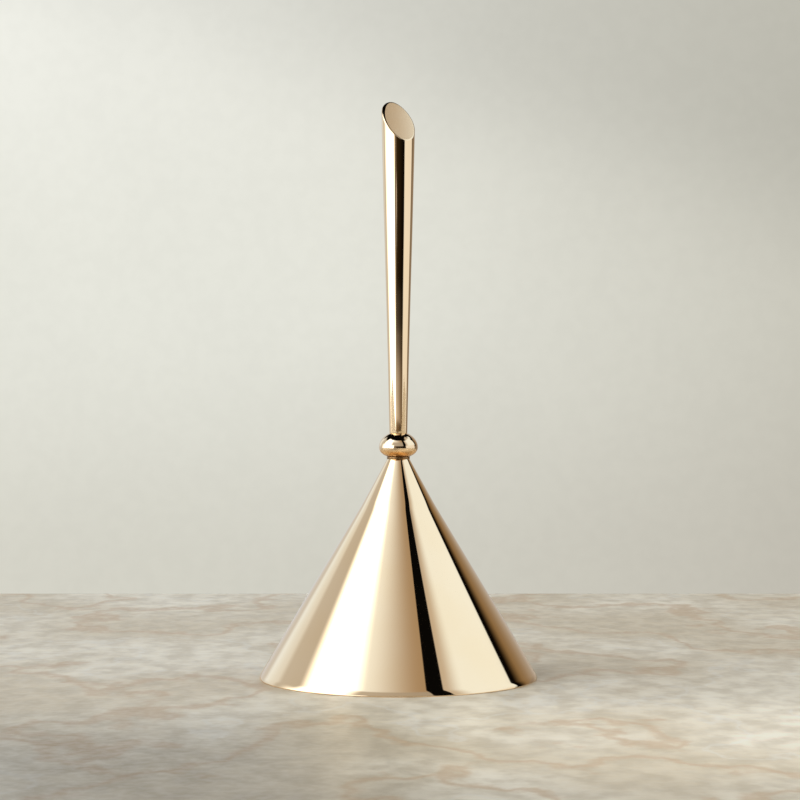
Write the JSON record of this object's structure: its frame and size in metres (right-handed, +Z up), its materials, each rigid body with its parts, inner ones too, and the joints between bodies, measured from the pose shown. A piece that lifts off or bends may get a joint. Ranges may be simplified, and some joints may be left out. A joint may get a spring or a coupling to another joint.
{
  "type": "bar jigger",
  "caption": "Conical measuring cup for mixing drinks, standing on its rim, with a bead collar and a slender tapered handle whose top is cut on a slant.",
  "frame": {"origin": "centre of the rim plane, which is the surface that the cup stands on", "axes": "+Z up along the cup's and handle's axis; the handle's slanted cut runs down towards +X and -Y"},
  "size_m": [0.0666, 0.0666, 0.138],
  "materials": {
    "cup": "mirror polished outside, fine spun lines inside",
    "hub": "turned and polished",
    "stud": "plain rolled thread",
    "ring": "turned and polished",
    "bead": "mirror polished",
    "handle": "mirror polished, with a flat polished cut at its top"
  },
  "bodies": {
    "root": {"cup_cone": "cup", "apex_hub": "hub", "threaded_stud": "stud", "neck_ring": "ring", "collar_bead": "bead", "handle": "handle"}
  },
  "joints": []
}
